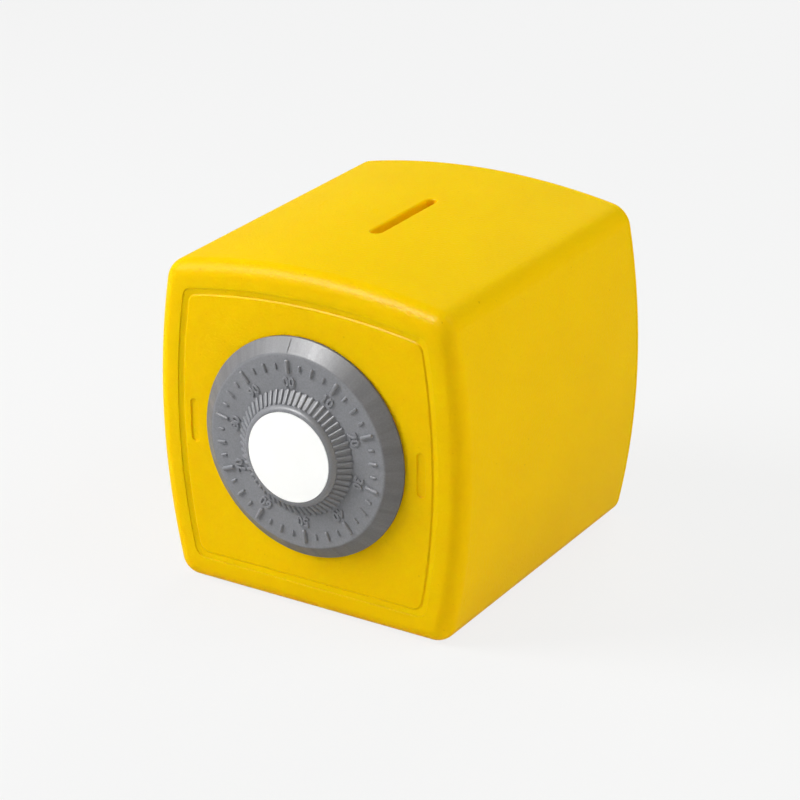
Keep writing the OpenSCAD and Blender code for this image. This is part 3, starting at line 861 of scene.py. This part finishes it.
def dial():
    bm = bmesh.new()
    label_floor = face_h - label_t
    ceiling = label_floor - dial_wall
    shoulder = face_r + shoulder_r
    profile = [
        (0, label_floor), (label_r - LABEL_RING, label_floor),
        (label_r, label_floor), (label_r, face_h - LABEL_LIP),
    ]
    profile += arc((face_r, rib_top), shoulder_r, QUARTER, 0, CORNER)
    profile += turned(
        (shoulder, rib_top, 0),
        (shoulder, rib_top - SHOULDER_EDGE, SHOULDER_EDGE),
        (rib_foot_r, scale_h, KNOB_FOOT),
        (scale_r, scale_h, SCALE_EDGE),
        (rim_r, rim_edge_h, RIM_EDGE),
        (rim_r, -RIM_SKIRT, SKIRT_EDGE),
        (rim_r - rim_foot_w, -RIM_SKIRT, SKIRT_FOOT),
        (scale_r - dial_wall, scale_h - dial_wall, HOLLOW_EDGE),
        (knob_base_r - knob_wall, scale_h - dial_wall, HOLLOW_EDGE),
        (knob_top_r - knob_wall, ceiling, HOLLOW_EDGE),
        (hub_r, ceiling, HOLLOW_EDGE),
        (hub_r, 0, HUB_END),
        (spindle_r, 0, SPINDLE_ROOT),
        (spindle_r, rim_y - guide_y - slide_gap, 0),
    )
    lathe(bm, profile)
    step_y = place(0, guide_y + slide_gap, 0).y
    bottom = [v for v in bm.verts if abs(v.co.y - step_y) < LEVEL]
    end = place(0, rim_y + spindle_l, 0).y
    flat = spindle_flat * MM
    low = [bm.verts.new((max(-flat, min(flat, v.co.x)), v.co.y, v.co.z)) for v in bottom]
    high = [bm.verts.new((v.co.x, end, v.co.z)) for v in low]
    bridge_all(bm, [bottom, low, high])
    bore = [dial_loop(bm, SPINDLE_BORE_R, h) for h in (-spindle_l, -spindle_l + SPINDLE_BORE_L)]
    bridge_all(bm, [high] + bore)
    bm.faces.new(bore[-1])
    return piece("dial_body", bm, GREY, "dial", ["dial"])


def dial_basis(turn):
    """Frame at an angle clockwise from the top: along the rim, outwards and to the front."""
    c, s = math.cos(turn), math.sin(turn)
    axes = Matrix(((c, s, 0, 0), (0, 0, -1, 0), (-s, c, 0, 0), (0, 0, 0, 1)))
    return Matrix.Translation((0, rim_y, 0)) @ axes


# Depth of a ridge's root under the surface, and the power of a sine that shapes its back
RIDGE_ROOT, RIDGE_POWER = 0.3, 0.5
# Angle at which the rounded end of a ridge is cut off
RIDGE_END = math.radians(80)


def ridge(bm, basis, stations, steps=8):
    """Rounded ridge through (r, h, half width, height, lean) stations, whose ends are closed."""
    loops = []
    for r, h, wide, high, lean in stations:
        out = (math.sin(lean), math.cos(lean))
        section = []
        for a in spread(0, math.pi, steps):
            lift = high * math.sin(a) ** RIDGE_POWER
            section.append((wide * math.cos(a), r + out[0] * lift, h + out[1] * lift))
        for u in (-wide, wide):
            section.append((u, r - RIDGE_ROOT * out[0], h - RIDGE_ROOT * out[1]))
        loops.append([bm.verts.new(basis @ Vector(p)) for p in section])
    bridge_all(bm, loops)
    bm.faces.new(loops[0])
    bm.faces.new(loops[-1])


# Rounded ribs: width, height, narrowing to the top, and share of the width left at the tip
RIB_W, RIB_H, RIB_TAPER, RIB_TIP = 0.95, 0.55, 0.2, 0.35
# Stations along a rib: about its foot, as shares of its length, and round its end
RIB_FOOT, RIB_SHARES, RIB_END, RIB_REACH = 0.25, (0.3, 0.6, 0.8), 0.45, 0.5


def dial_ribs():
    bm = bmesh.new()
    length = math.hypot(top_core_r - rib_foot_r, knob_rib_h)
    lean = math.atan2(knob_rib_h, rib_foot_r - top_core_r)
    places = [(-RIB_FOOT, 1), (RIB_FOOT, 1)] + [(length * t, 1) for t in RIB_SHARES]
    for a in spread(0, RIDGE_END, ROUND):
        places.append((length - RIB_END + RIB_REACH * math.sin(a), math.cos(a)))
    stations = []
    for s, full in places:
        t = s / length
        wide = RIB_W / 2 * (1 - RIB_TAPER * t) * (RIB_TIP + (1 - RIB_TIP) * full)
        r, h = rib_foot_r + (top_core_r - rib_foot_r) * t, scale_h + knob_rib_h * t
        stations.append((r, h, wide, RIB_H * full, lean))
    for i in range(knob_ribs):
        ridge(bm, dial_basis(TAU * i / knob_ribs), stations)
    return piece("dial_ribs", bm, GREY, "dial", matrix=AXIS)


# Rounded marks, wider than the plain ones of the part: height, swelling a side, shares by rank
MARK_H, MARK_SWELL, MARK_RISE = 0.75, 0.15, (1, 0.8, 0.65)
# Fine index line on the bevel, in line with the zero mark, and its (place, height) shares
INDEX_W, INDEX_H = 0.34, 0.16
INDEX_SHARES = ((0.12, 0.3), (0.2, 1), (0.8, 1), (0.9, 0.3))


def mark_end(at, way, wide, tall, angles):
    """Stations of a mark's rounded end, which starts at a radius and runs one way."""
    return [
        (at + way * wide * (1 - math.sin(a)), scale_h, wide * math.cos(a), tall * math.cos(a), 0)
        for a in angles
    ]


def dial_marks():
    bm = bmesh.new()
    for i in range(marks):
        rank = 0 if i % 4 == 0 else 1 if i % 2 == 0 else 2
        trim, wide = mark_trim[rank], mark_w * mark_share[rank] / 2 + MARK_SWELL
        tall = MARK_H * MARK_RISE[rank]
        low, high = mark_r + trim, mark_r + mark_l - trim
        stations = mark_end(low, 1, wide, tall, spread(RIDGE_END, 0, ROUND))
        stations += mark_end(high, -1, wide, tall, spread(0, RIDGE_END, ROUND))
        ridge(bm, dial_basis(math.radians(scale_turn + i * 360 / marks)), stations)
    lean = math.atan2(scale_h - rim_edge_h, rim_r - scale_r)
    stations = []
    for t, full in INDEX_SHARES:
        r, h = scale_r + (rim_r - scale_r) * t, scale_h + (rim_edge_h - scale_h) * t
        stations.append((r, h, INDEX_W / 2, INDEX_H * full, lean))
    ridge(bm, dial_basis(math.radians(scale_turn)), stations)
    return piece("dial_marks", bm, GREY, "dial", matrix=AXIS)


# Numbers of the scale: how many, their radius, height, half depth, bevel and swelling
NUMERALS, NUMERAL_R, NUMERAL_H = 10, 19.5, 2.7
NUMERAL_T, NUMERAL_EDGE, NUMERAL_SWELL = 0.3, 0.12, 0.04
# Height of a digit as a share of the font's size
DIGIT_SHARE = 0.73
# Distance within which vertices of the numbers are joined
WELD = 0.0005


def dial_numerals():
    bm = bmesh.new()
    for i in range(NUMERALS):
        curve = bpy.data.curves.new("numeral", "FONT")
        curve.body = f"{i}0"
        curve.align_x, curve.align_y = "CENTER", "CENTER"
        curve.size = NUMERAL_H / DIGIT_SHARE
        curve.extrude = NUMERAL_T
        curve.bevel_depth = NUMERAL_EDGE
        curve.bevel_resolution = 2
        curve.offset = NUMERAL_SWELL
        curve.resolution_u = 4
        holder = bpy.data.objects.new("numeral", curve)
        mesh = holder.to_mesh()
        turn = math.radians(scale_turn + i * 360 / NUMERALS)
        mesh.transform(dial_basis(turn) @ Matrix.Translation((0, NUMERAL_R, scale_h)))
        bm.from_mesh(mesh)
        holder.to_mesh_clear()
        bpy.data.objects.remove(holder)
        bpy.data.curves.remove(curve)
    bmesh.ops.remove_doubles(bm, verts=bm.verts, dist=WELD)
    return piece("dial_numerals", bm, GREY, "dial", matrix=AXIS)


# Gap round the label in its recess, flat ring inside its edge, and radius of that edge
LABEL_GAP, LABEL_FLAT, LABEL_EDGE = 0.15, 2, 0.08


def dial_label():
    bm = bmesh.new()
    r, low = label_r - LABEL_GAP, face_h - label_t
    rim = turned((r - LABEL_FLAT, face_h, 0), (r, face_h, LABEL_EDGE), (r, low, 0))
    lathe(bm, [(0, face_h)] + rim + [(0, low)])
    return piece("dial_label_disc", bm, WHITE, "dial", ["dial_label"])


housing()
housing_bosses()
back_cover()
back_cover_lip()
door_panel()
door_fittings()
dial()
dial_ribs()
dial_marks()
dial_numerals()
dial_label()

# CAD nodes whose shape is right keep it and take a finish
FINISHES = {
    "back_cover_screws": STEEL,
    "lock_cover_screws": STEEL,
    "cam_screw": STEEL,
    "cam_washer": STEEL,
    "click_spring": STEEL,
    "dial_washer": NATURAL,
    "lock_cam": NATURAL,
    "left_bolt": NATURAL,
    "right_bolt": NATURAL,
    "lock_cover": YELLOW,
}
for name, material in FINISHES.items():
    for material_slot in frame["nodes"][name].material_slots:
        material_slot.material = material


# Camera, floor and light, in metres apart from the camera's place


# Camera, solved from the photograph's perspective about the dial's centre
AZIMUTH, ELEVATION, ROLL = (math.radians(a) for a in (31.787, 22.753, -0.476))
FOCAL, IMAGE, SENSOR = 2429.6, 800, 36.0
OFFSET = Vector((-25.017, 12.4, 638.011))
AIM = Vector((-0.25, -48.4, 48.0))
CLIP_START, CLIP_END = 0.01, 60


def camera():
    level = math.cos(ELEVATION)
    back = Vector((
        math.sin(AZIMUTH) * level, -math.cos(AZIMUTH) * level, math.sin(ELEVATION)
    ))
    right = Vector((math.cos(AZIMUTH), math.sin(AZIMUTH), 0))
    up = back.cross(right)
    turn = Matrix.Rotation(ROLL, 3, "Z") @ Matrix((right, -up, -back))
    place_at = AIM - turn.transposed() @ OFFSET
    axes = Matrix((turn[0], -turn[1], -turn[2])).transposed().to_4x4()
    data = bpy.data.cameras.new("camera")
    data.sensor_width = SENSOR
    data.lens = FOCAL / IMAGE * SENSOR
    data.clip_start, data.clip_end = CLIP_START, CLIP_END
    obj = bpy.data.objects.new("camera", data)
    obj.matrix_world = Matrix.Translation(place_at * MM) @ axes
    bpy.context.scene.collection.objects.link(obj)
    bpy.context.scene.camera = obj


# Point that all lamps face
LAMP_AIM = Vector((0, 0, 0.05))


def lamp(name, direction, distance, size, power, colour=(1, 1, 1), diffuse=True, glossy=True):
    data = bpy.data.lights.new(name, "AREA")
    data.shape, data.size, data.energy, data.color = "DISK", size, power, colour
    obj = bpy.data.objects.new(name, data)
    way = Vector(direction).normalized()
    obj.location = way * distance + LAMP_AIM
    obj.rotation_euler = way.to_track_quat("Z", "Y").to_euler()
    obj.visible_diffuse, obj.visible_glossy, obj.visible_camera = diffuse, glossy, False
    bpy.context.scene.collection.objects.link(obj)


def seen_rays(n):
    """Two values: 1 for rays from the camera or through glass, and 1 for mirror rays."""
    path = n.add("ShaderNodeLightPath")
    seen = n.math("MAXIMUM", path.outputs["Is Camera Ray"], path.outputs["Is Transmission Ray"])
    return seen, path.outputs["Is Glossy Ray"]


# Colour of the background, and of the floor under the lamps
PALE, FLOOR = srgb(244, 244, 244), srgb(215, 215, 215)
# Strength of the floor's glow as seen and in mirrors, and its share beside the lamps' light
GLOW, MIRROR_GLOW, GLOW_SHARE = 1.04, 0.32, 0.86
# Rings of the flat floor, then the sweep that rises round it: centre and radius
FLOOR_RINGS, SWEEP_AT, SWEEP_R, FLOOR_STEPS = (0.3, 1), 1.9, 0.65, 96


def floor():
    n = Nodes("floor")
    n.set(Base_Color=FLOOR, Roughness=0.9, Specular_IOR_Level=0.0)
    glow = n.add("ShaderNodeEmission")
    glow.inputs["Color"].default_value = PALE
    seen, mirrored = seen_rays(n)
    bright, dim = n.math("MULTIPLY", seen, GLOW), n.math("MULTIPLY", mirrored, MIRROR_GLOW)
    n.join(n.math("MAXIMUM", bright, dim), glow.inputs["Strength"])
    both = n.add("ShaderNodeMixShader")
    share = n.math("MULTIPLY", n.math("MAXIMUM", seen, mirrored), GLOW_SHARE)
    n.join(share, both.inputs[0])
    n.join(n.shader.outputs[0], both.inputs[1])
    n.join(glow.outputs[0], both.inputs[2])
    n.join(both.outputs[0], n.tree.nodes["Material Output"].inputs["Surface"])
    bm = bmesh.new()
    sweep = [(r, 0) for r in FLOOR_RINGS]
    sweep += arc((SWEEP_AT, SWEEP_R), SWEEP_R, -QUARTER, 0, CORNER)
    turns = [TAU * i / FLOOR_STEPS for i in range(FLOOR_STEPS)]
    loops = [
        [bm.verts.new((r * math.cos(a), r * math.sin(a), z)) for a in turns] for r, z in sweep
    ]
    bridge_all(bm, loops)
    bm.faces.new(loops[0])
    mesh = bpy.data.meshes.new("floor")
    bm.to_mesh(mesh)
    bm.free()
    obj = bpy.data.objects.new("floor", mesh)
    mesh.materials.append(n.material)
    bpy.context.scene.collection.objects.link(obj)


AMBIENT = 0.2


def world():
    sky = bpy.data.worlds.new("studio")
    bpy.context.scene.world = sky
    sky.use_nodes = True
    background = sky.node_tree.nodes["Background"]
    background.inputs["Color"].default_value = (1, 1, 1, 1)
    background.inputs["Strength"].default_value = AMBIENT


camera()
floor()
world()
# Direction, distance, size and power of each lamp. The glint shows only in mirror rays.
lamp("key", (-0.70, -0.455, 0.55), 0.9, 0.5, 9.2)
lamp("front", (0.64, -0.74, 0.20), 0.9, 0.5, 0.9)
lamp("top", (0.60, 0.20, 0.77), 0.9, 0.5, 2.7, (0.82, 1, 1))
lamp("fill", (0.96, 0.04, 0.04), 1.1, 0.8, 6.1, (1, 0.79, 0.5))
lamp("back", (-0.20, 0.90, 0.39), 1.7, 0.8, 11, glossy=False)
lamp("glint", (-0.28, -0.60, 0.75), 0.9, 0.25, 32, diffuse=False)
bpy.context.scene.view_settings.view_transform = "Standard"

bpy.context.view_layer.update()
